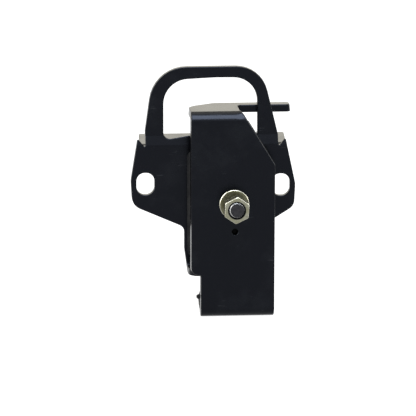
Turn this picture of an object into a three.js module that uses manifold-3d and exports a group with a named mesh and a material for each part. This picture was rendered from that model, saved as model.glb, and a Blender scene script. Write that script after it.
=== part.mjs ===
// Rubber-bonded engine mount with an interlocking hoop, in millimetres.
//
// X runs across the mount, Y runs from the stud (front) to the shelf (back) and Z is up.
// The shapes are drawn with Y measured from the front face of the bracket, and the
// finished group is shifted so that its origin is the bottom centre of its box.

import * as THREE from 'three';
import { mergeVertices } from 'three/addons/utils/BufferGeometryUtils.js';
import Module from 'manifold-3d';

const wasm = await Module();
wasm.setup();

// ---------- driving dimensions ----------

const GAP = 0.3;                 // kept between pieces that touch on the real mount
const BEYOND = 1;                // how far a cutting shape reaches past what it cuts
const BEYOND_ALL = 220;          // further than the mount reaches in any direction
const ARC_STEPS = 8;             // each arc is drawn with twice as many straight steps

// front bracket: one folded plate
const BRACKET = {
  thickness: 6,
  bend: 8,                       // outside radius of both folds
  left: -19.8,
  right: 48,
  top: 166.8,                    // upper face of the top flange
  footLeft: -12.2,               // the plate is narrower below the step
  step: 34.6,
  lipDepth: 26,                  // how far back the bottom lip reaches
  lipRise: 18,                   // degrees
  flare: 0.8,                    // the right edge draws in by this towards the bottom
};

// flange on top of the bracket, with the hook tab that passes behind the hoop
const FLANGE = { right: 20.5, back: 45.5, tabFront: 33, tabEnd: 62.8 };

// base plate: one pressing with two ears, the hoop and the tongue
const BASE = {
  thickness: 5,
  front: 24,                     // front face, behind the bracket's front face
  hoopTop: 199.4,
  joggle: 1.5,                   // the hoop stands this far behind the ears
  joggleLow: 136,
  joggleHigh: 144,
  tongue: 23.4,                  // half width
  foot: 21.4,                    // half width of the tongue's bent foot
  footUnder: 32.4,               // underside of the tongue's bent foot
  footFront: 8.5,
  footBend: 9,                   // outside radius of the foot's bend
};
const SLOT = { width: 14.2, height: 17.7, corner: 6.6 };
const LEFT_SLOT = { x: -54.3, z: 105.2 };
const RIGHT_SLOT = { x: 54.3, z: 103.2 };

// shelf welded to the back of the base plate
const SHELF = {
  thickness: 4,
  low: 117,                      // lower edge of its upright leg
  front: 135.7,                  // height of its upper face where it starts
  back: 65,
  rise: 5,                       // degrees
  halfWidth: 59,
  flare: 1.6,                    // the right end spreads by this towards the back
};

// rubber spring between the two plates, and rubber stop in the lower corner
const RUBBER = { left: -21, right: 26, inset: 2.2, bottom: 44, top: 133, waist: 3.5, corner: 7 };
const STOP = { right: 44, top: 21 };

// M12 fastening
const STUD = { x: 14.8, z: 92.6, diameter: 12, front: -26.6, chamfer: 0.7 };
const WASHER = { outer: 24, inner: 13.4, thickness: 2.5 };
const NUT = { acrossFlats: 19, height: 10.5, countersink: 13.8, chamfer: 1.1, turn: 4 };
const LOCATOR = { x: 15.5, z: 70, diameter: 4 };

const BACK_OF_BRACKET = BRACKET.thickness;
const BACK_OF_BASE = BASE.front + BASE.thickness;
const MIDDLE_DEPTH = (STUD.front + SHELF.back) / 2;

// ---------- drawing helpers ----------

const radians = THREE.MathUtils.degToRad;

// An outline through corners [x, y, radius]; a corner without a radius stays sharp.
function outline(corners, path = new THREE.Shape()) {
  corners.forEach(([x, y, radius = 0], index) => {
    const corner = new THREE.Vector2(x, y);
    const before = corners.at(index - 1);
    const after = corners[(index + 1) % corners.length];
    const back = new THREE.Vector2(before[0], before[1]).sub(corner).normalize();
    const ahead = new THREE.Vector2(after[0], after[1]).sub(corner).normalize();
    if (radius === 0) {
      if (index === 0) path.moveTo(x, y);
      else path.lineTo(x, y);
      return;
    }
    const half = Math.acos(THREE.MathUtils.clamp(back.dot(ahead), -1, 1)) / 2;
    const start = corner.clone().addScaledVector(back, radius / Math.tan(half));
    const end = corner.clone().addScaledVector(ahead, radius / Math.tan(half));
    const towards = back.clone().add(ahead).normalize();
    const centre = corner.clone().addScaledVector(towards, radius / Math.sin(half));
    const from = start.clone().sub(centre).angle();
    const to = end.clone().sub(centre).angle();
    if (index === 0) path.moveTo(start.x, start.y);
    else if (path.curves.length === 0) {
      // an arc only joins itself to a run that is there already, so the first run is drawn here
      path.lineTo(centre.x + radius * Math.cos(from), centre.y + radius * Math.sin(from));
    }
    path.absarc(centre.x, centre.y, radius, from, to, back.cross(ahead) > 0);
  });
  path.closePath();
  return path;
}

// A shape drawn in one view and made solid from one level to another.
// 'front' draws X and Z, 'side' draws Y and Z, 'top' draws X and Y.
function slab(shape, view, from, to, steps = ARC_STEPS) {
  const depth = to - from;
  const geometry = new THREE.ExtrudeGeometry(shape, { depth, bevelEnabled: false, curveSegments: steps });
  if (view === 'front') geometry.rotateX(Math.PI / 2).translate(0, to, 0);
  if (view === 'top') geometry.translate(0, 0, from);
  if (view === 'side') {
    const along = new THREE.Vector3(0, 1, 0);
    const up = new THREE.Vector3(0, 0, 1);
    const across = new THREE.Vector3(1, 0, 0);
    geometry.applyMatrix4(new THREE.Matrix4().makeBasis(along, up, across)).translate(from, 0, 0);
  }
  return solid(geometry);
}

function solid(geometry) {
  const bare = geometry.index ? geometry.toNonIndexed() : geometry.clone();
  bare.deleteAttribute('normal');
  bare.deleteAttribute('uv');
  const merged = mergeVertices(bare, 1e-4);
  const vertProperties = new Float32Array(merged.attributes.position.array);
  const triVerts = new Uint32Array(merged.index.array);
  return new wasm.Manifold(new wasm.Mesh({ numProp: 3, vertProperties, triVerts }));
}

function surface(body) {
  const { vertProperties, triVerts } = body.getMesh();
  const geometry = new THREE.BufferGeometry();
  geometry.setAttribute('position', new THREE.BufferAttribute(vertProperties, 3));
  geometry.setIndex(new THREE.BufferAttribute(triVerts, 1));
  geometry.computeVertexNormals();
  return geometry;
}

// A body turned about the line along Y through x, z, from a closed profile [radius, depth].
function turned(profile, x, z, segments = 40) {
  const points = profile.map(([radius, depth]) => new THREE.Vector2(radius, depth));
  const geometry = new THREE.LatheGeometry([...points, points[0]], segments);
  return solid(geometry.translate(x, 0, z));
}

// A round drill along Y through the whole mount.
function drill(x, z, diameter, segments = 40) {
  const geometry = new THREE.CylinderGeometry(diameter / 2, diameter / 2, 200, segments);
  return solid(geometry.translate(x, 0, z));
}

function piece(name, body, finish) {
  const mesh = new THREE.Mesh(surface(body), new THREE.MeshStandardMaterial(finish));
  mesh.name = name;
  return mesh;
}

const paint = { color: 0x17181b, roughness: 0.4, metalness: 0.1 };
const rubber = { color: 0x101011, roughness: 0.85, metalness: 0 };
const zinc = { color: 0xb9b48c, roughness: 0.35, metalness: 0.9 };
const darkSteel = { color: 0x4a4a4c, roughness: 0.5, metalness: 0.8 };

// ---------- front bracket ----------

// Both edges of the folded plate seen from the side, from the back of the flange
// round to the end of the lip. 'inset' is 0 for the outer edge.
function bracketEdge(inset) {
  const { bend, top, lipDepth, lipRise } = BRACKET;
  const slope = radians(lipRise);
  const radius = bend - inset;
  const path = new THREE.Path();
  path.moveTo(lipDepth, top - inset);
  path.lineTo(bend, top - inset);
  path.absarc(bend, top - bend, radius, Math.PI / 2, Math.PI, false);
  path.absarc(bend, bend, radius, Math.PI, 1.5 * Math.PI + slope, false);
  const lipStart = bend + radius * Math.sin(slope);
  const lipLow = bend - radius * Math.cos(slope);
  path.lineTo(lipDepth, lipLow + (lipDepth - lipStart) * Math.tan(slope));
  return path.getPoints(ARC_STEPS);
}

function bracketBody() {
  const { left, right, top, bend, footLeft, step, thickness, flare } = BRACKET;
  const folded = new THREE.Shape([...bracketEdge(0), ...bracketEdge(thickness).reverse()]);
  const face = outline([
    [footLeft, -BEYOND, 0], [right - flare, -BEYOND, 0], [right - flare / 2, bend, 20], [right, 124, 3],
    [FLANGE.right, top + BEYOND, 0], [left, top + BEYOND, 0], [left, step, 6], [footLeft, step, 2],
  ]);
  const upright = slab(folded, 'side', left - BEYOND, right + BEYOND)
    .intersect(slab(face, 'front', -BEYOND, BEYOND_ALL));

  const flange = outline([
    [left, bend, 0], [FLANGE.right, bend, 0], [FLANGE.right, FLANGE.tabFront, 3],
    [FLANGE.tabEnd, FLANGE.tabFront, 4], [FLANGE.tabEnd, FLANGE.back, 3], [1.5, FLANGE.back, 8],
    [-16, FLANGE.tabFront, 3], [left, 27, 3],
  ]);
  return upright
    .add(slab(flange, 'top', top - thickness, top))
    .subtract(drill(STUD.x, STUD.z, STUD.diameter + 2 * GAP))
    .subtract(drill(LOCATOR.x, LOCATOR.z, LOCATOR.diameter, 16));
}

// ---------- base plate ----------

// The pressing seen from the side: hoop, joggle, ears, then the foot bent forward.
function baseProfile() {
  const { front, joggle, joggleLow, joggleHigh, footBend, footUnder, footFront, thickness } = BASE;
  const back = front + thickness;
  const inside = footBend - thickness;
  return outline([
    [front + joggle, BASE.hoopTop + 1], [front + joggle, joggleHigh, 4], [front, joggleLow, 4],
    [front, footUnder + thickness, inside], [footFront, footUnder + thickness],
    [footFront, footUnder], [back, footUnder, footBend],
    [back, joggleLow, 4], [back + joggle, joggleHigh, 4], [back + joggle, BASE.hoopTop + 1],
  ]);
}

function slotHole({ x, z }) {
  const halfWidth = SLOT.width / 2;
  const halfHeight = SLOT.height / 2;
  return outline([
    [x - halfWidth, z - halfHeight, SLOT.corner], [x + halfWidth, z - halfHeight, SLOT.corner],
    [x + halfWidth, z + halfHeight, SLOT.corner], [x - halfWidth, z + halfHeight, SLOT.corner],
  ], new THREE.Path());
}

function baseBody() {
  const { tongue, foot, hoopTop } = BASE;
  const plate = outline([
    [-foot, 20], [foot, 20], [foot, 36, 12], [tongue, 52, 12], [tongue, 60, 4],
    // right ear
    [30, 63.5, 8], [65.3, 85.5, 9], [66.2, 104, 20], [58.2, 141.2], [52.4, 134],
    // hoop
    [52.2, 144], [38.8, hoopTop, 26], [-47.2, hoopTop, 30], [-54.6, 148], [-54, 134],
    // left ear
    [-60.6, 142], [-66.2, 108, 20], [-65, 87.5, 11], [-tongue, 69.4, 6],
    [-tongue, 52, 12], [-foot, 36, 12],
  ]);
  const windowHole = outline([
    [-39.6, 140.4, 5], [-14, 144.5, 30], [10, 144.5, 30], [35.4, 140.2, 6],
    [35.3, 190.1, 19], [2, 190.4, 60], [-39.6, 188.5, 20],
  ], new THREE.Path());
  plate.holes.push(windowHole, slotHole(LEFT_SLOT), slotHole(RIGHT_SLOT));

  // seen from above, the foot's front corners are round
  const footPlan = outline([
    [-BEYOND_ALL, BACK_OF_BASE + 5], [-BEYOND_ALL, BASE.front - 2], [-tongue, BASE.front - 2],
    [-tongue, BASE.footFront, 9], [tongue, BASE.footFront, 9], [tongue, BASE.front - 2],
    [BEYOND_ALL, BASE.front - 2], [BEYOND_ALL, BACK_OF_BASE + 5],
  ]);
  return slab(baseProfile(), 'side', -BEYOND_ALL, BEYOND_ALL)
    .intersect(slab(plate, 'front', -BEYOND, BEYOND_ALL))
    .intersect(slab(footPlan, 'top', 0, BEYOND_ALL));
}

// ---------- rear shelf ----------

function shelfBody() {
  const { thickness, low, front, back, rise, halfWidth, flare } = SHELF;
  const slope = Math.tan(radians(rise));
  const start = BACK_OF_BASE + GAP;
  const topAt = (depth) => front + (depth - start) * slope;
  const section = outline([
    [start, low, 0], [start + thickness, low, 0],
    [start + thickness, topAt(start + thickness) - thickness, 3],
    [back, topAt(back) - thickness, 0], [back, topAt(back), 0], [start, topAt(start), 6],
  ]);
  const plan = outline([
    [-halfWidth, start - BEYOND], [halfWidth, start - BEYOND], [halfWidth + flare, back, 2],
    [-halfWidth + flare, back, 2],
  ]);
  return slab(section, 'side', -BEYOND_ALL, BEYOND_ALL).intersect(slab(plan, 'top', 0, BEYOND_ALL));
}

// ---------- rubber ----------

// The spring's sides draw in between the plates that it is bonded to.
function springBody() {
  const { left, right, inset, bottom, top, waist, corner } = RUBBER;
  const from = BACK_OF_BRACKET + GAP;
  const to = BASE.front - GAP;
  const middle = (from + to) / 2;
  const plan = outline([
    [left + inset, from], [right - inset, from], [right - waist, middle, 14], [right, to],
    [left, to], [left + waist, middle, 14],
  ]);
  const profile = outline([
    [from, bottom], [middle, bottom + waist, 14], [to, bottom], [to, top],
    [middle, top - waist, 14], [from, top],
  ]);
  const face = outline([
    [left, bottom, corner], [right, bottom, corner], [right, top, corner], [left, top, corner],
  ]);
  return slab(plan, 'top', bottom - BEYOND, top + BEYOND)
    .intersect(slab(profile, 'side', left - BEYOND, right + BEYOND))
    .intersect(slab(face, 'front', 0, BEYOND_ALL));
}

// The wedge that fills the corner between the bracket's face and its lip.
function stopBody() {
  const { bend, lipDepth, lipRise, thickness } = BRACKET;
  const slope = Math.tan(radians(lipRise));
  const inside = bend - thickness;
  const lipTop = (depth) => bend - inside / Math.cos(radians(lipRise)) + (depth - bend) * slope;
  const front = BACK_OF_BRACKET + GAP;
  const end = lipDepth - 1;
  const section = outline([
    [front, lipTop(front) + 2 * GAP, inside], [end, lipTop(end) + GAP, 0], [end, lipTop(end) + 1.2, 0],
    [front + 6, STOP.top, 5], [front, STOP.top, 0],
  ]);
  return slab(section, 'side', BRACKET.footLeft + 0.5, STOP.right);
}

// ---------- stud, washer and nut ----------

function studBody() {
  const { x, z, diameter, front, chamfer } = STUD;
  const radius = diameter / 2;
  return turned([
    [0, front], [radius - chamfer, front], [radius, front + chamfer], [radius, BACK_OF_BRACKET],
    [0, BACK_OF_BRACKET],
  ], x, z);
}

function washerBody() {
  const { outer, inner, thickness } = WASHER;
  return turned([
    [inner / 2, -GAP - thickness], [outer / 2 - 0.4, -GAP - thickness], [outer / 2, -GAP - thickness + 0.4],
    [outer / 2, -GAP], [inner / 2, -GAP],
  ], STUD.x, STUD.z, 48);
}

function nutBody() {
  const { acrossFlats, height, countersink, chamfer, turn } = NUT;
  const acrossCorners = acrossFlats / Math.cos(Math.PI / 6);
  const front = STUD.front;
  const back = front + height;
  const bore = STUD.diameter / 2 + GAP;
  const prism = new THREE.CylinderGeometry(acrossCorners / 2, acrossCorners / 2, height, 6)
    .rotateY(radians(turn))
    .translate(STUD.x, (front + back) / 2, STUD.z);
  const rounded = turned([
    [bore, front], [acrossFlats / 2 - 0.2, front], [acrossCorners / 2 + 0.1, front + chamfer],
    [acrossCorners / 2 + 0.1, back - chamfer], [acrossFlats / 2 - 0.2, back], [bore, back],
  ], STUD.x, STUD.z, 48);
  const mouth = turned([
    [0, front - 1], [countersink / 2 + 1, front - 1], [countersink / 2, front], [bore - 0.1, front + 0.8],
    [0, front + 0.8],
  ], STUD.x, STUD.z);
  return solid(prism).intersect(rounded).subtract(mouth);
}

// ---------- assembly ----------

const mount = new THREE.Group();
mount.name = 'engine_mount';
mount.position.y = -MIDDLE_DEPTH;
mount.add(
  piece('base_plate', baseBody(), paint),
  piece('rear_shelf', shelfBody(), paint),
  piece('front_bracket', bracketBody(), paint),
  piece('rubber_spring', springBody(), rubber),
  piece('bump_stop', stopBody(), rubber),
  piece('stud', studBody(), darkSteel),
  piece('flat_washer', washerBody(), zinc),
  piece('hex_nut', nutBody(), zinc),
);

export default mount;
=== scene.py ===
# %% [markdown]
# # A rubber-bonded engine mount
#
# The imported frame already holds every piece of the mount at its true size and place. This
# script gives it its surfaces: rolled edges and black paint on the pressings, moulded rubber
# between them, and a cut thread, a chamfered nut and a stamped washer on the front. The frame
# comes first, because every other length here is worked out from its boxes.

import math

import bmesh
import bpy
from mathutils import Matrix, Vector, geometry, kdtree, noise


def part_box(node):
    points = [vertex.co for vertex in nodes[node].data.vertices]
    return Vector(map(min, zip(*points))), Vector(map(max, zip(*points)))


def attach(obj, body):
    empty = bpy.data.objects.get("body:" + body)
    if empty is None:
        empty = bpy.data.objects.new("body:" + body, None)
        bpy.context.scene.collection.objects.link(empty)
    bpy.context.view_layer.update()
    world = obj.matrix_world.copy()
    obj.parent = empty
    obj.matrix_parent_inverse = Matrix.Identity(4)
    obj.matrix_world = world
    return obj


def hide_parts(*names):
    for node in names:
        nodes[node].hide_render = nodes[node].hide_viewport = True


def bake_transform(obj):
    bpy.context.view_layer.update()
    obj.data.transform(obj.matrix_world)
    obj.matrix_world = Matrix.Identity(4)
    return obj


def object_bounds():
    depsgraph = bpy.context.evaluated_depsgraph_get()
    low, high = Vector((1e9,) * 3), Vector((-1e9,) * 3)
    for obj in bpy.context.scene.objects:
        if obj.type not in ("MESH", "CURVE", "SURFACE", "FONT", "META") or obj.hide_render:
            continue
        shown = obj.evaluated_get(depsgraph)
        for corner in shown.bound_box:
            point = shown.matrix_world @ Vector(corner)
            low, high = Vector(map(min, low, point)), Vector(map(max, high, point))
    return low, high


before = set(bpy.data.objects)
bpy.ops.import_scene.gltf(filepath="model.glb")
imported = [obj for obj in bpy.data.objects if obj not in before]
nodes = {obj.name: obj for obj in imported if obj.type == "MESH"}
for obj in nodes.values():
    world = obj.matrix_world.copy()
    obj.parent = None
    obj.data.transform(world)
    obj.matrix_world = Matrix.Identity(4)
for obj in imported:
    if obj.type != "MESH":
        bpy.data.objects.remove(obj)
cad_low, cad_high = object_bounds()
MM = 0.001
print("frame:", sorted(nodes), "size in mm:", [round(side / MM, 1) for side in cad_high - cad_low])

# %% [markdown]
# ## Camera
#
# A small part is best seen from well back through a long lens, so that its two plates keep
# their true proportions. The camera stands a little to the left of the stud and looks down
# at a shallow angle. Its lens is worked out from the width of view that it has to cover.

# %% Camera
AZIMUTH = math.radians(-4.5)
ELEVATION = math.radians(11.5)
CAMERA_DISTANCE = 3.0
VIEW_WIDTH = 0.3328

aim = (cad_low + cad_high) / 2 + Vector((-4.6 * MM, 0, -13.8 * MM))
back = Vector((
    math.sin(AZIMUTH) * math.cos(ELEVATION),
    -math.cos(AZIMUTH) * math.cos(ELEVATION),
    math.sin(ELEVATION),
))
camera = bpy.data.objects.new("camera", bpy.data.cameras.new("camera"))
bpy.context.scene.collection.objects.link(camera)
bpy.context.scene.camera = camera
camera.location = aim + back * CAMERA_DISTANCE
camera.rotation_euler = (-back).to_track_quat("-Z", "Y").to_euler()
camera.data.lens = camera.data.sensor_width * CAMERA_DISTANCE / VIEW_WIDTH
camera.data.clip_start = 0.1
camera.data.clip_end = 60
print("lens in mm:", round(camera.data.lens, 1))

# %% [markdown]
# ## Writing shaders as sums
#
# A material is a graph of nodes, and wiring one up by hand hides what it computes. A Wire
# stands for one output, so that `1 - mask * 0.5` adds the Math nodes for it. A Recipe is a
# node tree with one method, `node`, which adds any other kind of node.

# %% Wires and recipes
class Wire:
    """One output of a node, which can be used in sums."""

    def __init__(self, recipe, socket):
        self.recipe = recipe
        self.socket = socket

    def _sum(self, operation, first, second):
        return self.recipe.node("ShaderNodeMath", {"operation": operation}, {0: first, 1: second})

    def __add__(self, other):
        return self._sum("ADD", self, other)

    def __radd__(self, other):
        return self._sum("ADD", other, self)

    def __sub__(self, other):
        return self._sum("SUBTRACT", self, other)

    def __rsub__(self, other):
        return self._sum("SUBTRACT", other, self)

    def __mul__(self, other):
        return self._sum("MULTIPLY", self, other)

    def __rmul__(self, other):
        return self._sum("MULTIPLY", other, self)


class Recipe:
    """A node tree, and the one way to add a node to it."""

    def __init__(self, owner):
        owner.use_nodes = True
        self.owner = owner
        self.tree = owner.node_tree

    def node(self, kind, settings=None, sockets=None, output=0):
        made = self.tree.nodes.new(kind)
        for name, value in (settings or {}).items():
            if name == "stops":
                self._stops(made.color_ramp, value)
            else:
                setattr(made, name, value)
        self.join(made, sockets or {})
        return Wire(self, made.outputs[output])

    def join(self, made, sockets):
        for name, value in sockets.items():
            if isinstance(value, Wire):
                self.tree.links.new(value.socket, made.inputs[name])
            else:
                made.inputs[name].default_value = value

    def _stops(self, ramp, stops):
        while len(ramp.elements) < len(stops):
            ramp.elements.new(1.0)
        for element, (place, level) in zip(ramp.elements, stops):
            element.position = place
            element.color = (level, level, level, 1)

    # The few patterns that every finish here shares.
    def place(self):
        return self.node("ShaderNodeTexCoord", output="Object")

    def stretched(self, scale):
        return self.node("ShaderNodeMapping", {}, {"Vector": self.place(), "Scale": scale})

    def grain(self, size, detail=3.0, roughness=0.5, where=None):
        sockets = {
            "Vector": where or self.place(),
            "Scale": 1 / size,
            "Detail": detail,
            "Roughness": roughness,
        }
        return self.node("ShaderNodeTexNoise", {}, sockets)

    def ramp(self, value, low, high):
        return self.node("ShaderNodeValToRGB", {"stops": [(low, 0), (high, 1)]}, {"Fac": value})

    def blend(self, share, first, second):
        sockets = {0: share, 6: (*first, 1) if isinstance(first, tuple) else first, 7: (*second, 1)}
        return self.node("ShaderNodeMix", {"data_type": "RGBA"}, sockets, output=2)

    def bump(self, height, depth, strength=1.0, under=None):
        sockets = {"Height": height, "Distance": depth, "Strength": strength}
        if under:
            sockets["Normal"] = under
        return self.node("ShaderNodeBump", {}, sockets)


def finish_called(name, colour, constants):
    """A material with these values on its shader's own sockets, and its recipe."""
    material = bpy.data.materials.new(name)
    recipe = Recipe(material)
    shader = recipe.tree.nodes["Principled BSDF"]
    recipe.join(shader, {"Base Color": (*colour, 1), **constants})
    return recipe, shader


print("wires add, subtract and multiply, with numbers on either side")

# %% [markdown]
# ## Black paint
#
# The pressings are dipped or sprayed after the rubber is bonded. The film is thin and black
# with a faint blue cast. It is glossy enough to turn grey at a shallow angle, and it has
# the soft dimples of orange peel over the rolling marks of the sheet. Handling leaves dull
# patches and a few fine scratches, and these change the roughness more than the colour.

# %% Black paint
def black_paint():
    sheen = {"IOR": 1.206, "Specular Tint": (0.74, 0.81, 1.0, 1)}
    recipe, shader = finish_called("satin_black", (0.001, 0.001, 0.0012), sheen)
    cloudy = recipe.grain(14 * MM, detail=4)
    dust = recipe.ramp(recipe.grain(0.55 * MM, detail=2), 0.69, 0.76)
    handled = recipe.ramp(recipe.grain(26 * MM, detail=5, roughness=0.62), 0.5, 0.68)
    streaks = recipe.grain(1.0, detail=6, where=recipe.stretched((90, 90, 700)))
    scratch = recipe.ramp(streaks, 0.665, 0.7) * handled

    worn = recipe.blend(handled * 0.5, (0.0005, 0.0005, 0.0007), (0.0025, 0.0026, 0.0029))
    dusty = recipe.blend(dust * 0.35, worn, (0.018, 0.0175, 0.0165))
    colour = recipe.blend(scratch * 0.5, dusty, (0.02, 0.02, 0.021))
    roughness = 0.18 + cloudy * 0.07 + handled * 0.09 + dust * 0.15 + scratch * 0.12

    peel = recipe.bump(recipe.grain(1.7 * MM, detail=2), 0.03 * MM, 0.55)
    sheet = recipe.bump(recipe.grain(7 * MM, detail=2), 0.12 * MM, 0.5, under=peel)
    fine = recipe.bump(scratch, 0.02 * MM, 0.4, under=sheet)
    recipe.join(shader, {"Base Color": colour, "Roughness": roughness, "Normal": fine})
    return recipe.owner


paint = black_paint()
print("made", paint.name, "with", len(paint.node_tree.nodes), "nodes")

# %% [markdown]
# ## Moulded rubber
#
# Carbon-black rubber is darker than the paint and hardly shines. The mould leaves a fine
# even grain, and talc or bloom shows as a slightly greyer film in the low places.

# %% Moulded rubber
def moulded_rubber():
    dull = {"IOR": 1.2, "Specular IOR Level": 0.25}
    recipe, shader = finish_called("bonded_rubber", (0.006, 0.006, 0.006), dull)
    bloom = recipe.ramp(recipe.grain(9 * MM, detail=5, roughness=0.6), 0.42, 0.7)
    grain = recipe.grain(0.35 * MM, detail=2)
    pits = recipe.ramp(recipe.grain(1.1 * MM, detail=1), 0.28, 0.4)
    colour = recipe.blend(bloom, (0.0045, 0.0045, 0.0048), (0.011, 0.0108, 0.0105))
    roughness = 0.78 + bloom * 0.14 + grain * 0.06
    mould = recipe.bump(grain, 0.04 * MM, 0.5)
    pitted = recipe.bump(pits, 0.08 * MM, 0.4, under=mould)
    recipe.join(shader, {"Base Color": colour, "Roughness": roughness, "Normal": pitted})
    return recipe.owner


rubber = moulded_rubber()
print("made", rubber.name, "with", len(rubber.node_tree.nodes), "nodes")

# %% [markdown]
# ## Zinc plate
#
# The nut and washer are plated and passivated, which leaves a yellow-olive film with grey
# patches. The washer has the heavier film. Spanners and handling rub the film off the edges,
# so a third, paler tone goes there. Each tone is a recipe with three colours: clean, filmed
# and stained. Tumbling marks and stains break up the roughness of all three.

# %% Zinc plate
def zinc_plate(name, clean, filmed, stained):
    recipe, shader = finish_called(name, clean, {"Metallic": 1.0})
    film = recipe.grain(4 * MM, detail=4, roughness=0.6)
    patches = recipe.ramp(film, 0.38, 0.62)
    stains = recipe.ramp(recipe.grain(1.3 * MM, detail=3), 0.52, 0.7)
    tumbled = recipe.grain(0.25 * MM, detail=3, roughness=0.7)
    colour = recipe.blend(stains * 0.7, recipe.blend(patches, clean, filmed), stained)
    roughness = 0.24 + stains * 0.2 + tumbled * 0.14
    marks = recipe.bump(tumbled, 0.015 * MM, 0.5)
    recipe.join(shader, {"Base Color": colour, "Roughness": roughness, "Normal": marks})
    return recipe.owner


nut_zinc = zinc_plate(
    "nut_zinc", clean=(0.19, 0.187, 0.145), filmed=(0.155, 0.15, 0.1), stained=(0.085, 0.082, 0.058)
)
washer_zinc = zinc_plate(
    "washer_zinc",
    clean=(0.1, 0.097, 0.062), filmed=(0.078, 0.074, 0.04), stained=(0.05, 0.047, 0.03),
)
rubbed_zinc = zinc_plate(
    "rubbed_zinc", clean=(0.42, 0.41, 0.36), filmed=(0.34, 0.33, 0.26), stained=(0.2, 0.19, 0.15)
)
print("made", nut_zinc.name, washer_zinc.name, "and", rubbed_zinc.name)

# %% [markdown]
# ## Stud steel
#
# The stud is plain rolled steel. Its threads are rubbed to a mid grey, and its cropped end is
# almost black with scale and oil. The mouth of the nut gets the same near-black tone as painted
# shade, for the dark gap round the stud. One recipe with two tones makes both, and scale breaks up
# their reflections.

# %% Stud steel
def stud_steel(name, bare, scaled):
    recipe, shader = finish_called(name, bare, {"Metallic": 1.0})
    scale = recipe.ramp(recipe.grain(2.5 * MM, detail=5, roughness=0.65), 0.38, 0.66)
    specks = recipe.grain(0.3 * MM, detail=2)
    colour = recipe.blend(scale, bare, scaled)
    roughness = 0.36 + scale * 0.16 + specks * 0.1
    marks = recipe.bump(specks, 0.02 * MM, 0.5)
    recipe.join(shader, {"Base Color": colour, "Roughness": roughness, "Normal": marks})
    return recipe.owner


thread_steel = stud_steel("thread_steel", bare=(0.36, 0.36, 0.35), scaled=(0.22, 0.22, 0.21))
# near-black: scale and oil on the stud's end, and painted shade in the nut's mouth
scale_and_painted_shade_steel = stud_steel(
    "scale_and_painted_shade_steel", bare=(0.026, 0.025, 0.027), scaled=(0.014, 0.014, 0.015)
)
print("made", thread_steel.name, "and", scale_and_painted_shade_steel.name)

# %% [markdown]
# ## Building blocks
#
# Most of the turned and moulded pieces are rings of points joined one after another, so one
# helper makes such a skin, and another sets rings round the axis of the stud. A third draws
# an outline with round corners, because every plate and every moulded section here is drawn
# as corners with a radius.

# %% Skins and outlines
def linked(name, mesh):
    """The finished mesh as an object in the scene."""
    bmesh.ops.recalc_face_normals(mesh, faces=mesh.faces)
    data = bpy.data.meshes.new(name)
    mesh.to_mesh(data)
    mesh.free()
    piece = bpy.data.objects.new(name, data)
    bpy.context.scene.collection.objects.link(piece)
    return piece


def skin(name, rings, closed_along=False):
    """Rings with equal numbers of points, joined in order; the ends are capped or joined."""
    mesh = bmesh.new()
    rows = [[mesh.verts.new(point) for point in ring] for ring in rings]
    pairs = list(zip(rows, rows[1:]))
    if closed_along:
        pairs.append((rows[-1], rows[0]))
    for near, far in pairs:
        for i in range(len(near)):
            j = (i + 1) % len(near)
            mesh.faces.new((near[i], near[j], far[j], far[i]))
    if not closed_along:
        mesh.faces.new(list(reversed(rows[0])))
        mesh.faces.new(rows[-1])
    return linked(name, mesh)


def turned(centre, front, rows):
    """Rings round an axis along y, from rows of (radius, depth), one pair for each step."""
    return [
        [
            Vector((
                centre.x + out * math.cos(math.tau * step / len(row)),
                front + along,
                centre.z + out * math.sin(math.tau * step / len(row)),
            ))
            for step, (out, along) in enumerate(row)
        ]
        for row in rows
    ]


def smooth(piece, angle=math.radians(35)):
    """Smooth shading, except across edges sharper than the angle."""
    piece.data.polygons.foreach_set("use_smooth", [True] * len(piece.data.polygons))
    piece.data.set_sharp_from_angle(angle=angle)


def give(piece, material):
    """The piece's main material."""
    piece.data.materials.clear()
    piece.data.materials.append(material)


def rounded(corners, turn=math.radians(9)):
    """The outline through corners (x, y, radius), as a list of flat points."""
    line = []
    for index, (x, y, radius) in enumerate(corners):
        corner = Vector((x, y))
        before = (Vector(corners[index - 1][:2]) - corner).normalized()
        after = (Vector(corners[(index + 1) % len(corners)][:2]) - corner).normalized()
        half = math.acos(max(-1, min(1, before.dot(after)))) / 2
        nearly_straight = half > math.radians(89.5)
        if radius == 0 or nearly_straight:
            line.append(corner)
            continue
        centre = corner + (before + after).normalized() * radius / math.sin(half)
        spoke = corner + before * radius / math.tan(half) - centre
        sweep = math.pi - 2 * half
        if before.x * after.y - before.y * after.x > 0:
            sweep = -sweep
        steps = max(2, round(abs(sweep) / turn))
        turns = [Matrix.Rotation(sweep * step / steps, 2) for step in range(steps + 1)]
        line += [centre + rotation @ spoke for rotation in turns]
    return line


SQUARE = ((1, 1), (-1, 1), (-1, -1), (1, -1))
print("a square with round corners has", len(rounded([(x, y, 0.2) for x, y in SQUARE])), "points")

# %% [markdown]
# ## A folded sheet
#
# A pressing starts as a flat blank and is bent in a tool. The Fold below is the middle line
# of the bent sheet, seen from the side. It gives the place of any point of the blank from
# its distance along that line and its depth in the sheet. The blank can then be drawn and
# triangulated flat, where it is simple, and folded at the end.

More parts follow.
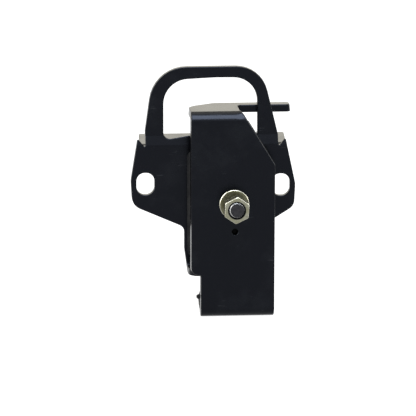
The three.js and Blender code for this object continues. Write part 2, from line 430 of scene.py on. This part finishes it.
# %% The fold
class Fold:
    """The middle line of a sheet from corners (y, z, radius), measured along its length."""

    def __init__(self, corners):
        self.rows = []
        facet = math.radians(7)
        ends = {0, len(corners) - 1}
        run = 0.0
        for index, (y, z, radius) in enumerate(corners):
            corner = Vector((y, z))
            if index in ends:
                near = corners[1] if index == 0 else corners[-2]
                heading = (Vector(near[:2]) - corner).normalized() * (1 if index == 0 else -1)
                bend = [(corner, heading)]
                step_length = 0
            else:
                arriving = (corner - Vector(corners[index - 1][:2])).normalized()
                leaving = (Vector(corners[index + 1][:2]) - corner).normalized()
                across = arriving.x * leaving.y - arriving.y * leaving.x
                turn = math.atan2(across, arriving.dot(leaving))
                reach = radius * math.tan(abs(turn) / 2)
                side = Vector((-arriving.y, arriving.x)) * math.copysign(radius, turn)
                centre = corner - arriving * reach + side
                steps = max(3, round(abs(turn) / facet))
                turns = [Matrix.Rotation(turn * step / steps, 2) for step in range(steps + 1)]
                bend = [(centre - rotation @ side, rotation @ arriving) for rotation in turns]
                step_length = radius * abs(turn) / steps
            for step, (place, heading) in enumerate(bend):
                if self.rows:
                    run += step_length if step else (place - self.rows[-1][1]).length
                self.rows.append((run, place, heading))

    def place(self, x, run, depth):
        """The point of the blank at x, run, at a depth from the middle, after folding."""
        run = max(0, min(self.rows[-1][0], run))
        high = next(i for i in range(1, len(self.rows)) if run <= self.rows[i][0] + 1e-9)
        (start, first, heading), (end, last, turned) = self.rows[high - 1], self.rows[high]
        share = (run - start) / (end - start)
        middle = first.lerp(last, share)
        ahead = heading.lerp(turned, share).normalized()
        return Vector((x, middle.x - ahead.y * depth, middle.y + ahead.x * depth))

    def run_at(self, axis, value):
        """The first run at which y (axis 0) or z (axis 1) has this value."""
        for (start, first, _), (end, last, _) in zip(self.rows, self.rows[1:]):
            low, high = sorted((first[axis], last[axis]))
            if low - 1e-9 <= value <= high + 1e-9 and high - low > 1e-9:
                return start + (end - start) * (value - first[axis]) / (last[axis] - first[axis])
        return self.rows[-1][0] if value < self.rows[-1][1][axis] else 0.0


sample = Fold([(0, 20 * MM, 0), (0, 0, 5 * MM), (20 * MM, 0, 0)])
print("a 20 by 20 mm angle with a 5 mm bend unrolls to", round(sample.rows[-1][0] / MM, 1), "mm")

# %% [markdown]
# ## Going round the cut edge
#
# Punching leaves a rounder edge on the side where the punch enters than on the other side.
# So each outline becomes a row of loops that go round the cut edge from one face to the
# other, each with its own inset and depth. Beside a corner that is tighter than the inset,
# the loops would cross themselves, so the inset shrinks there and grows back along the edge.

# %% Loops round the edge
LONGEST = 5 * MM
SHORTEST = 0.12 * MM
CORNER_SHARE = 0.8
GROWTH = 0.3


def area(loop):
    """Positive where the loop runs anticlockwise."""
    return sum(a.x * b.y - b.x * a.y for a, b in zip(loop, loop[1:] + loop[:1])) / 2


def divided(loop, levels):
    """The loop with extra points where it crosses the rows of the fold, and on long runs."""
    points = []
    for start, end in zip(loop, loop[1:] + loop[:1]):
        run = end - start
        pieces = max(1, math.ceil(run.length / LONGEST))
        shares = [step / pieces for step in range(pieces)]
        if abs(run.y) > 1e-7:
            shares += [(level - start.y) / run.y for level in levels]
        for share in sorted(shares):
            point = start + run * share
            if 0 <= share < 1 and (end - point).length > SHORTEST:
                if not points or (point - points[-1]).length > SHORTEST:
                    points.append(point)
    return points


def inward(loop):
    """A step to the left of the direction of travel at each point, made for an even inset."""
    steps = []
    for before, here, after in zip(loop[-1:] + loop[:-1], loop, loop[1:] + loop[:1]):
        first, second = (here - before).normalized(), (after - here).normalized()
        left = Vector((-first.y - second.y, first.x + second.x)).normalized()
        steps.append(left / max(0.5, left.dot(Vector((-first.y, first.x)))))
    return steps


def tightness(loop, deepest):
    """The share of the deepest inset that each point has room for beside tight corners."""
    lengths = [(after - here).length for here, after in zip(loop, loop[1:] + loop[:1])]
    rooms = []
    for index, here in enumerate(loop):
        before, after = here - loop[index - 1], loop[(index + 1) % len(loop)] - here
        turn = -before.angle_signed(after)
        radius = (before.length + after.length) / 2 / turn if turn > 0.02 else math.inf
        rooms.append(min(deepest, CORNER_SHARE * radius))
    for _ in range(2):
        for index in range(len(loop)):
            rooms[index] = min(rooms[index], rooms[index - 1] + GROWTH * lengths[index - 1])
        for index in reversed(range(len(loop))):
            following = (index + 1) % len(loop)
            rooms[index] = min(rooms[index], rooms[following] + GROWTH * lengths[index])
    return [room / deepest for room in rooms]


unit = [Vector(corner) for corner in SQUARE]
print("a square of side 2 has area", area(unit), "and steps inward by", inward(unit)[0][:])

# %% [markdown]
# ## Filling and folding
#
# The two faces of the blank are filled with a Delaunay triangulation, with extra points in
# rows across every bend to keep it smooth. Holes are loops that run the other way round.
# Every point then goes to its folded place, and weighted normals keep the wide faces flat
# beside their rolled edges.

# %% The pressing
COLUMN = 6 * MM
CLEAR_OF_EDGE = 0.9 * MM
FACE_MARGIN = 0.5 * MM
EDGE_STEPS = 4


def holds(loops, point):
    """Whether the point is inside the blank, by the crossings to its right."""
    crossings = 0
    for loop in loops:
        for a, b in zip(loop, loop[1:] + loop[:1]):
            if (a.y > point.y) != (b.y > point.y):
                crossings += point.x < a.x + (b.x - a.x) * (point.y - a.y) / (b.y - a.y)
    return crossings % 2 == 1


def fill(loops, levels):
    """Flat points and triangles inside the loops; the loops' own points come first."""
    points = [point for loop in loops for point in loop]
    edges = []
    start = 0
    for loop in loops:
        edges += [(start + i, start + (i + 1) % len(loop)) for i in range(len(loop))]
        start += len(loop)
    tree = kdtree.KDTree(len(points))
    for index, point in enumerate(points):
        tree.insert(point.to_3d(), index)
    tree.balance()
    left, right = min(p.x for p in points), max(p.x for p in points)
    columns = math.ceil((right - left) / COLUMN)
    for level in levels:
        for column in range(1, columns):
            point = Vector((left + (right - left) * column / columns, level))
            if tree.find(point.to_3d())[2] > CLEAR_OF_EDGE and holds(loops, point):
                points.append(point)
    flat, _, faces, *_ = geometry.delaunay_2d_cdt(points, edges, [], 1, 1e-9)
    middle = [sum((flat[i] for i in face), Vector((0, 0))) / 3 for face in faces]
    return flat, [face for face, point in zip(faces, middle) if holds(loops, point)]


def edge_bands(thickness, rolled, burred, taper):
    """The inset and depth of each loop, from the front face round the cut edge to the back."""
    front, rear = -thickness / 2, thickness / 2
    quarter = [math.radians(90) * step / EDGE_STEPS for step in range(EDGE_STEPS + 1)]
    bands = [(taper + rolled + FACE_MARGIN, front)]
    for turn in quarter:
        inset, depth = rolled * (1 - math.sin(turn)), rolled * (1 - math.cos(turn))
        bands.append((taper + inset, front + depth))
    for turn in reversed(quarter):
        bands.append((burred * (1 - math.sin(turn)), rear - burred * (1 - math.cos(turn))))
    bands.append((rolled + FACE_MARGIN, rear))
    return bands


def pressing(name, fold, outlines, thickness, rolled, burred, taper=0.1 * MM):
    """A folded plate. Its cut edges are rolled over by the punch in front, sheared at a
    slight taper, and burred at the back. The first outline is its rim, and the rest are holes."""
    run = fold.rows[-1][0]
    levels = [row[0] for row in fold.rows]
    spans = list(zip(levels, levels[1:]))
    for low, high in spans:
        pieces = math.ceil((high - low) / COLUMN)
        levels += [low + (high - low) * step / pieces for step in range(1, pieces)]
    levels = sorted(levels)
    loops = []
    for index, outline in enumerate(outlines):
        loop = divided(outline, levels)
        loops.append(loop if (area(loop) > 0) == (index == 0) else loop[::-1])

    bands = edge_bands(thickness, rolled, burred, taper)
    deepest = max(inset for inset, _ in bands)
    mesh = bmesh.new()
    rings = []
    for loop in loops:
        steps = [step * share for step, share in zip(inward(loop), tightness(loop, deepest))]
        for inset, depth in bands:
            flat = [point + step * inset for point, step in zip(loop, steps)]
            rings.append((flat, [mesh.verts.new(fold.place(p.x, p.y, depth)) for p in flat]))
    for index in range(len(loops)):
        own = [ring for _, ring in rings[index * len(bands):(index + 1) * len(bands)]]
        for near, far in zip(own, own[1:]):
            for i in range(len(near)):
                j = (i + 1) % len(near)
                mesh.faces.new((near[i], near[j], far[j], far[i]))
    for side in (0, len(bands) - 1):
        depth = bands[side][1]
        chosen = rings[side::len(bands)]
        flat, faces = fill([loop for loop, _ in chosen], levels)
        known = [vertex for _, ring in chosen for vertex in ring]
        known += [mesh.verts.new(fold.place(p.x, p.y, depth)) for p in flat[len(known):]]
        for face in faces:
            mesh.faces.new([known[i] for i in face])
    piece = linked(name, mesh)
    smooth(piece, math.radians(40))
    piece.modifiers.new("flat_faces", "WEIGHTED_NORMAL").keep_sharp = True
    give(piece, paint)
    print(name, "blank", round(run / MM, 1), "mm long,", len(piece.data.polygons), "faces")
    return piece


print("a cut edge is", len(edge_bands(5 * MM, 0.7 * MM, 0.35 * MM, 0.1 * MM)), "loops round")

# %% [markdown]
# ## Front bracket
#
# The bracket is one 6 mm plate with two folds. The flange on top ends in a tab that hooks
# behind the hoop, so the mount holds even if its rubber tears. The lip at the bottom is
# bent up a little. Widths come from the frame's box, and the blank is drawn with x across
# and with runs found from the height or depth that each corner has after folding.

# %% Front bracket
LIP_RISE = math.radians(18)
STUD_HOLE = 6.2 * MM
LOCATING_HOLE = (15.5 * MM, 70 * MM, 2 * MM)
ALMOST = 0.999


def front_bracket():
    low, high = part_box("front_bracket")
    thick, outside = 6 * MM, 8 * MM
    middle = outside - thick / 2
    bend_centre = Vector((low.y + outside, low.z + outside))
    lip = bend_centre + Vector((math.sin(LIP_RISE), -math.cos(LIP_RISE))) * middle
    corner = lip + Vector((1, math.tan(LIP_RISE))) * (low.y + thick / 2 - lip.x)
    lip_end = low.y + 26 * MM
    fold = Fold([
        (high.y, high.z - thick / 2, 0),
        (low.y + thick / 2, high.z - thick / 2, middle),
        (corner.x, corner.y, middle),
        (lip_end, lip.y + (lip_end - lip.x) * math.tan(LIP_RISE), 0),
    ])

    def deep(depth):
        return fold.run_at(0, low.y + depth * MM)

    def up(height):
        return fold.run_at(1, low.z + height * MM)

    left, right, end = low.x, 48 * MM, fold.rows[-1][0]
    foot, flange = -12.2 * MM, 20.5 * MM
    step, tab_front, tab_back = up(34.6), deep(33), deep(45.5)
    outline = rounded([
        (left, deep(27), 3 * MM), (left, step, 6 * MM), (foot, step, 1.5 * MM),
        (foot, end, 1.6 * MM), (right - 0.8 * MM, end, 1.6 * MM),
        (right - 0.4 * MM, up(8), 20 * MM), (right, up(124), 3 * MM),
        (26.6 * MM, up(158.8), 6 * MM), (flange, deep(8), 6 * MM), (flange, tab_front, 3 * MM),
        (high.x, tab_front, 3.6 * MM), (high.x, tab_back, 3 * MM),
        (1.5 * MM, tab_back, 8 * MM), (-16 * MM, tab_front, 3 * MM),
    ])
    stud_low, stud_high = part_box("stud")
    stud_at = (stud_low + stud_high) / 2
    circles = [
        rounded([
            (x + across * radius, fold.run_at(1, z) + along * radius, radius * ALMOST)
            for across, along in SQUARE
        ])
        for x, z, radius in ((stud_at.x, stud_at.z, STUD_HOLE), LOCATING_HOLE)
    ]
    piece = pressing(
        "bracket_pressing", fold, [outline, *circles], thick,
        rolled=0.8 * MM, burred=0.3 * MM, taper=0.45 * MM,
    )
    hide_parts("front_bracket")
    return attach(piece, "bracket")


front_bracket()

# %% [markdown]
# ## Base plate
#
# The hoop, both ears and the tongue are one 5 mm pressing. A small joggle sets the hoop back
# from the ears, and the tongue's foot turns forward under the rubber. The joggle is only a
# millimetre and a half, but it catches the light as a band across the hoop's legs.

# %% Base plate
JOGGLE = 1.5 * MM
SLOT_WIDTH, SLOT_HEIGHT, SLOT_CORNER = 14.2, 17.7, 6.6


def base_plate():
    low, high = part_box("base_plate")
    thick = 5 * MM
    hoop = high.y - thick / 2
    ears = hoop - JOGGLE
    fold = Fold([
        (hoop, high.z, 0), (hoop, 144 * MM, 6 * MM), (ears, 136 * MM, 6 * MM),
        (ears, low.z + thick / 2, 6.5 * MM), (low.y, low.z + thick / 2, 0),
    ])

    def up(height):
        return fold.run_at(1, height * MM)

    def placed(corners):
        return [(x * MM, up(z), radius * MM) for x, z, radius in corners]

    foot_end = fold.rows[-1][0]
    rim = placed([
        (30, 63.5, 8), (65.3, 85.5, 9), (66.2, 104, 20), (58.2, 141.2, 0.9), (52.4, 134, 0.9),
        (52.2, 144, 8), (38.8, 199.4, 26), (-47.2, 199.4, 30), (-54.6, 148, 8), (-54, 134, 0.9),
        (-60.6, 142, 0.9), (-66.2, 108, 20), (-65, 87.5, 11), (-23.4, 69.4, 6), (-23.4, 52, 12),
        (-21.4, 38, 12),
    ])
    rim += [(-19.6 * MM, foot_end, 9 * MM), (19.6 * MM, foot_end, 9 * MM)]
    rim += placed([(21.4, 38, 12), (23.4, 52, 12), (23.4, 60, 4)])
    window = placed([
        (-39.6, 140.4, 5), (-14, 144.5, 30), (10, 144.5, 30), (35.4, 140.2, 6),
        (35.3, 190.1, 19), (2, 190.4, 60), (-39.6, 188.5, 20),
    ])
    slots = [
        placed([
            (x + across * SLOT_WIDTH / 2, z + rise * SLOT_HEIGHT / 2, SLOT_CORNER)
            for across, rise in SQUARE
        ])
        for x, z in ((-54.3, 105.2), (54.3, 103.2))
    ]
    piece = pressing(
        "base_pressing", fold, [rounded(corners) for corners in (rim, window, *slots)], thick,
        rolled=0.7 * MM, burred=0.35 * MM,
    )
    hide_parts("base_plate")
    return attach(piece, "base")


base_plate()

# %% [markdown]
# ## Rear shelf
#
# Behind the ears an angle of 4 mm sheet is welded on, with its upper leaf rising gently to
# the back. It closes the two notches beside the hoop's legs from behind.

# %% Rear shelf
def rear_shelf():
    low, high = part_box("rear_shelf")
    thick = 4 * MM
    slope = math.tan(math.radians(5))
    narrowing = 1.6 * MM
    leg = low.y + thick / 2
    back_height = high.z - thick / 2
    fold = Fold([
        (high.y, back_height, 0),
        (leg, back_height - (high.y - leg) * slope, 4 * MM),
        (leg, low.z, 0),
    ])
    end = fold.rows[-1][0]
    outline = rounded([
        (low.x + narrowing, 0, 2 * MM), (low.x, end, 1.5 * MM),
        (high.x - narrowing, end, 1.5 * MM), (high.x, 0, 2 * MM),
    ])
    piece = pressing(
        "shelf_pressing", fold, [outline], thick, rolled=0.6 * MM, burred=0.35 * MM
    )
    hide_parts("rear_shelf")
    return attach(piece, "base")


rear_shelf()

# %% [markdown]
# ## Rubber spring
#
# The block is bonded to both plates, so it fills the gap that the frame leaves and flares into a
# thin skirt where the rubber ran out over the steel. Its sides draw in between the plates, and the
# mould's parting line runs round the middle. Each ring is a rounded rectangle at one depth. The
# block here is one fixed piece; the real one shears as the mount works.

# %% Rubber spring
TOUCH = 0.32 * MM
DEPTH_ROWS = 32


def rounded_ring(low, high, corner, depth, steps=10, sides=14):
    """A rounded rectangle at one depth, with evenly spread points on its straight sides."""
    centres = [
        (high.x - corner, high.z - corner), (low.x + corner, high.z - corner),
        (low.x + corner, low.z + corner), (high.x - corner, low.z + corner),
    ]
    ring = []
    for quarter, (x, z) in enumerate(centres):
        for step in range(steps + 1):
            angle = math.radians(90) * (quarter + step / steps)
            spoke = Vector((math.cos(angle), 0, math.sin(angle))) * corner
            ring.append(Vector((x, depth, z)) + spoke)
        next_x, next_z = centres[(quarter + 1) % 4]
        start = ring[-1]
        end = Vector((next_x, depth, next_z)) + spoke
        ring += [start.lerp(end, side / sides) for side in range(1, sides)]
    return ring


def spring_inset(share):
    """How far the side draws in at a share of the way from front to back."""
    nearest = min(share, 1 - share)
    waist = 3.4 * MM * math.sin(math.pi * share) ** 0.8
    skirt = 1.6 * MM * (1 - math.exp(-nearest / 0.035))
    parting = -0.35 * MM * math.exp(-(((share - 0.5) / 0.018) ** 2))
    return waist + skirt + parting


def rubber_spring():
    low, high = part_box("rubber_spring")
    front = low.y - TOUCH
    depth = high.y + TOUCH - front
    # rows are closer together at both plates, where the skirt flares
    shares = [0.5 - 0.5 * math.cos(math.pi * row / DEPTH_ROWS) for row in range(DEPTH_ROWS + 1)]
    rings = []
    for share in shares:
        inset = spring_inset(share)
        lean = 1.6 * MM * (1 - share)
        side = Vector((inset + lean, 0, inset))
        corner = 7 * MM - inset * 0.5
        rings.append(rounded_ring(low + side, high - side, corner, front + depth * share))
    for ring in rings[1:-1]:
        for point in ring:
            wave = 0.25 * MM * noise.noise(Vector((point.x, 0, point.z)) / (11 * MM))
            outward = point - Vector((0, point.y, 90 * MM))
            point += outward.normalized() * wave
    piece = skin("rubber_spring_moulding", rings)
    smooth(piece)
    give(piece, rubber)
    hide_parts("rubber_spring")
    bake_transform(piece)
    return piece


spring = rubber_spring()
print(spring.name, len(spring.data.vertices), "points")

# %% [markdown]
# ## Bump stop
#
# The wedge in the lower corner is moulded on to the bracket. Its section lies in the corner
# between the upright and the lip, and it is carried across with its ends rounded off. A
# little noise makes the free face uneven, as flash and shrinkage do. A stub of rubber
# stands out of its left end, where the mould was filled.

# %% Bump stop
def bump_stop():
    low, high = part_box("bump_stop")
    touch = 0.25 * MM
    start, end = low.y - touch, high.y
    heel = low.z - touch
    toe = heel + (end - start) * math.tan(LIP_RISE)
    section = rounded([
        (start, heel, 2.5 * MM), (end, toe, 0.7 * MM),
        (end - 1 * MM, toe + 2.2 * MM, 1.2 * MM),
        (start + 6.3 * MM, high.z, 5 * MM), (start, high.z, 1.2 * MM),
    ])
    centre = sum(section, Vector((0, 0))) / len(section)
    # distance from the end and inset there, in mm
    ends = [(0, 1.2), (0.2, 0.6), (0.6, 0.2)]
    first, last = low.x + 1.2 * MM, high.x - 1.2 * MM
    stations = [(low.x + along * MM, inset) for along, inset in ends]
    stations += [(first + (last - first) * step / 30, 0) for step in range(31)]
    stations += [(high.x - along * MM, inset) for along, inset in reversed(ends)]
    rings = []
    for x, inset in stations:
        ring = []
        for point in section:
            uneven = 0.25 * MM * noise.noise(Vector((x, point.x, point.y)) / (5 * MM))
            y, z = point + (centre - point).normalized() * (inset * MM - min(0, uneven))
            ring.append(Vector((x, y, z)))
        rings.append(ring)
    piece = skin("bump_stop_moulding", rings)
    smooth(piece, math.radians(50))
    give(piece, rubber)
    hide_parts("bump_stop")
    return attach(piece, "bracket")


def filling_stub():
    low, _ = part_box("bump_stop")
    mesh = bmesh.new()
    bmesh.ops.create_icosphere(mesh, subdivisions=4, radius=1.0)
    root = Vector((low.x - 0.3 * MM, low.y + 5.6 * MM, low.z + 8.6 * MM))
    radii = Vector((2.3, 2.0, 2.2)) * MM
    for point in mesh.verts:
        lump = 1 + 0.35 * noise.noise(point.co * 1.7)
        point.co = root + point.co * radii * lump
    piece = linked("filling_stub", mesh)
    smooth(piece, math.radians(60))
    give(piece, rubber)
    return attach(piece, "bracket")


bump_stop()
filling_stub()
print("bump stop and its stub are made")

# %% [markdown]
# ## Stud
#
# A thread could be an image, but its crests catch the light, so it is cut for real. Each
# point of the rod knows how far it has turned and how far along it is. Together these give
# its place across the thread, and so its radius. The thread fades where the end is turned
# down to a chamfer.

# %% Stud with its thread
PITCH = 1.75 * MM
THREAD_DEPTH = 0.95 * MM
ROWS_PER_PITCH = 14


def thread_height(place):
    """0 at the root and 1 at the crest, for a place from 0 to 1 across one thread."""
    slope = abs(2 * (place % 1) - 1)
    return min(1, max(0, (slope - 0.25) / 0.62))


def stud():
    low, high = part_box("stud")
    axis = (low + high) / 2
    radius = (high.x - low.x) / 2 - 0.06 * MM
    chamfer = 0.7 * MM
    around = 64
    length = high.y - low.y
    rows = int(length / PITCH * ROWS_PER_PITCH)
    rings = []
    for inset in (0.55, 0.8, 0.93):
        rings.append([(inset * (radius - chamfer), 0.0)] * around)
    for row in range(rows + 1):
        along = length * row / rows
        limit = radius - max(0, chamfer - along)
        ring = []
        for step in range(around):
            thread = radius - THREAD_DEPTH * (1 - thread_height(along / PITCH - step / around))
            ring.append((min(limit, thread), along))
        rings.append(ring)
    piece = skin("stud_threaded", turned(axis, low.y, rings))
    smooth(piece, math.radians(50))
    give(piece, thread_steel)
    piece.data.materials.append(scale_and_painted_shade_steel)
    for polygon in piece.data.polygons:
        cropped = polygon.center.y < low.y + 0.3 * MM
        polygon.material_index = int(cropped)
    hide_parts("stud")
    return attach(piece, "bracket")


threaded = stud()
print(threaded.name, len(threaded.data.vertices), "points")

# %% [markdown]
# ## Nut
#
# A nut is turned from hexagon bar, so its chamfers are cones that meet the flats in curves.
# Going round the axis, the distance to the flats gives how much the cone takes off each corner. The
# edge between face and side is slightly round and rubbed bright. The bore has a wide mouth in
# front. The bore and the mouth are painted near-black as painted shade, so they read as a dark ring
# round the stud.

# %% Nut
NUT_TURN = math.radians(-4)
CHAMFER_SLOPE = math.tan(math.radians(30))
ROUND = 0.55 * MM
HALF_FLATS = 9.5 * MM
CHAMFER_START = HALF_FLATS + 0.7 * MM
CORNER_START, CORNER_LOSS = 10.75 * MM, 0.8
MOUTH = 7.25 * MM
STEPS_ROUND = 36 * 6


def nut_profile(angle, bore, height):
    """Radius and depth from the bore out over the front face and back again, at one angle."""
    sixth = math.radians(60)
    from_flat = (angle - NUT_TURN + sixth / 2) % sixth - sixth / 2
    side = HALF_FLATS / math.cos(from_flat)
    side -= max(0, side - CORNER_START) * CORNER_LOSS
    drop = max(0, side - CHAMFER_START) * CHAMFER_SLOPE
    turns = [math.radians(90) * step / 4 for step in range(5)]
    front = [
        (side - ROUND * (1 - math.sin(turn)), drop + ROUND * (1 - math.cos(turn)))
        for turn in turns
    ]
    rear = [(out, height - along) for out, along in reversed(front)]
    flat = CHAMFER_START - 1.2 * MM
    return [
        (bore, 2.6 * MM), (MOUTH - 0.14 * MM, 0.35 * MM), (MOUTH, 0), (flat, 0),
        *front, (side, height * 0.35), (side, height * 0.65), *rear,
        (flat, height), (bore + 0.8 * MM, height), (bore, height - 0.8 * MM),
    ]


def nut():
    low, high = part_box("hex_nut")
    stud_low, stud_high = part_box("stud")
    axis = (stud_low + stud_high) / 2
    bore = (stud_high.x - stud_low.x) / 2 + 0.1 * MM
    profiles = [
        nut_profile(math.tau * step / STEPS_ROUND, bore, high.y - low.y)
        for step in range(STEPS_ROUND)
    ]
    piece = skin("nut_plated", turned(axis, low.y, list(zip(*profiles))), closed_along=True)
    smooth(piece, math.radians(28))
    give(piece, nut_zinc)
    piece.data.materials.append(scale_and_painted_shade_steel)
    piece.data.materials.append(rubbed_zinc)
    for polygon in piece.data.polygons:
        out = (polygon.center - axis) * Vector((1, 0, 1))
        front_edge = -0.84 < polygon.normal.y < -0.2
        # bore and mouth: near-black steel as painted shade round the stud
        if out.length < MOUTH - 0.05 * MM:
            polygon.material_index = 1
        elif front_edge:
            polygon.material_index = 2
    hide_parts("hex_nut")
    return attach(piece, "nut")


plated_nut = nut()
print(plated_nut.name, len(plated_nut.data.vertices), "points")

# %% [markdown]
# ## Washer
#
# A washer is stamped, so one edge is drawn down round and the other keeps a small burr. Its
# section is turned round the stud's axis, and the outermost part of its rim is rubbed bright.

# %% Washer
def washer():
    low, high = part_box("flat_washer")
    centre = (low + high) / 2
    outer = (high.x - low.x) / 2
    inner = 6.7 * MM
    thick = high.y - low.y
    drawn = 1.0 * MM
    section = []
    for step in range(7):
        angle = math.radians(90) * step / 6
        section.append((outer - drawn + drawn * math.sin(angle), drawn - drawn * math.cos(angle)))
    section += [(outer, thick - 0.12 * MM), (outer - 0.1 * MM, thick), (inner + 0.2 * MM, thick)]
    section += [(inner, thick - 0.2 * MM), (inner, 0.3 * MM), (inner + 0.3 * MM, 0)]
    rows = [[corner] * 128 for corner in section]
    piece = skin("washer_plated", turned(centre, low.y, rows), closed_along=True)
    smooth(piece, math.radians(30))
    give(piece, washer_zinc)
    piece.data.materials.append(rubbed_zinc)
    for polygon in piece.data.polygons:
        out = (polygon.center - centre) * Vector((1, 0, 1))
        rim = out.length > outer - drawn * 0.4 and polygon.normal.y < -0.1
        polygon.material_index = int(rim)
    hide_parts("flat_washer")
    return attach(piece, "washer")


plated_washer = washer()
print(plated_washer.name, len(plated_washer.data.vertices), "points")

# %% [markdown]
# ## Weld beads
#
# The shelf is held by fillet welds along the lower edge of its leg. A bead is a row of
# overlapping ripples, made by sweeping a small rounded triangle along the joint and letting
# its size rise and fall.

# %% Weld beads
BEAD_LEG = 3.6 * MM
RIPPLE = 1.5 * MM
ROWS_PER_RIPPLE = 6
BEAD_ENDS = (14 * MM, 46 * MM)


def bead(name, start, end, into_corner):
    """A fillet from start to end. into_corner holds the two directions of the corner's walls."""
    first, second = into_corner
    run = end - start
    count = int(run.length / (RIPPLE / ROWS_PER_RIPPLE))
    rings = []
    for step in range(count + 1):
        share = step / count
        along = run.length * share
        taper = min(1, 6 * min(share, 1 - share)) ** 0.5
        wander = noise.noise(Vector((along / (4 * MM), 3, 0)))
        ripple = 1 + 0.06 * math.cos(math.tau * along / RIPPLE) + 0.08 * wander
        leg = max(0.15, taper) * ripple * BEAD_LEG
        foot = start + run * share
        ring = [foot - (first + second) * 0.25 * MM]
        for turn in range(9):
            angle = math.radians(90) * turn / 8
            out = leg * (0.74 + 0.26 * abs(math.cos(2 * angle)))
            ring.append(foot + first * out * math.cos(angle) + second * out * math.sin(angle))
        rings.append(ring)
    piece = skin(name, rings)
    smooth(piece, math.radians(50))
    give(piece, paint)
    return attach(piece, "base")


def shelf_beads():
    low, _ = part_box("rear_shelf")
    gap = 0.3 * MM
    down = Vector((0, 0, -1))
    rearward = Vector((0, 1, 0))
    for side, name in ((-1, "left_shelf_weld"), (1, "right_shelf_weld")):
        start, end = (Vector((side * x, low.y - gap, low.z)) for x in BEAD_ENDS)
        bead(name, start, end, (rearward, down))


shelf_beads()
print("two beads, each leg", BEAD_LEG / MM, "mm")

# %% [markdown]
# ## Floor and light
#
# Black gloss shows what surrounds it rather than its own colour, so the light is planned
# from the reflections. Upright faces mirror the floor in front. The flange and the shelf
# mirror the far side of the room, which is bright and slightly warm. The upper fold sweeps
# from one to the other and passes a large soft box on the way, which draws its bright
# band. Two boxes at the sides light the rim of the washer and the rolled cut edges. The
# floor glows like a light table, so that it stays white with little shadow.

# %% Floor and light
WARM_WHITE = (1.0, 0.99, 0.96)
COOL_WHITE = (0.83, 0.9, 1.0)


def floor():
    bpy.ops.mesh.primitive_plane_add(size=24, location=(0, 4, cad_low.z))
    plane = bpy.context.object
    plane.name = "floor"
    glow = {"Emission Color": (1, 1, 1, 1), "Emission Strength": 0.87, "Specular IOR Level": 0.0}
    recipe, shader = finish_called("floor_white", (0.12, 0.12, 0.12), glow)
    mottled = recipe.grain(0.3, detail=2)
    recipe.join(shader, {"Roughness": 0.85 + mottled * 0.1})
    plane.data.materials.append(recipe.owner)


def soft_box(name, place, width, height, radiance, colour):
    """A rectangular light that faces the mount, as bright as its radiance at any size."""
    data = bpy.data.lights.new(name, "AREA")
    data.shape = "RECTANGLE"
    data.size = width
    data.size_y = height
    data.energy = radiance * math.pi * width * height
    data.color = colour
    light = bpy.data.objects.new(name, data)
    bpy.context.scene.collection.objects.link(light)
    light.location = place
    toward_mount = Vector((0, 0, 0.1)) - Vector(place)
    light.rotation_euler = toward_mount.to_track_quat("-Z", "Y").to_euler()


def room():
    """A world whose brightness depends on height, in one way in front and another behind."""
    world = bpy.data.worlds.new("room")
    bpy.context.scene.world = world
    recipe = Recipe(world)
    direction = {"Vector": recipe.node("ShaderNodeTexCoord", output="Generated")}
    toward_back = recipe.node("ShaderNodeSeparateXYZ", {}, direction, output="Y")
    upward = recipe.node("ShaderNodeSeparateXYZ", {}, direction, output="Z")
    brightest = 3.3
    near = [(0, 0.2), (0.08, 0.6), (0.3, 0.7), (0.5, 0.25), (0.9, 0.5), (1, 1)]
    far = [(0, 0.38), (0.2, 0.47), (0.36, 1), (0.8, 1), (1, 1)]
    in_front, behind = (
        recipe.node("ShaderNodeValToRGB", {"stops": stops}, {"Fac": upward})
        for stops in (near, far)
    )
    side = recipe.ramp(toward_back, 0.0, 0.3)
    strength = (in_front * (1 - side) + behind * side) * brightest
    colour = recipe.blend(side, (0.95, 0.98, 1.0), (1.0, 0.965, 0.85))
    recipe.join(recipe.tree.nodes["Background"], {"Color": colour, "Strength": strength})


floor()
room()
soft_box("key", (0.1, -1.3, 1.75), 1.3, 1.7, 18, COOL_WHITE)
soft_box("left", (-1.7, -0.35, 1.0), 1.2, 2.0, 13, WARM_WHITE)
soft_box("right", (1.9, 0.0, 0.8), 1.0, 1.2, 10, WARM_WHITE)
bpy.context.scene.view_settings.view_transform = "Standard"
print("floor, room and three soft boxes")
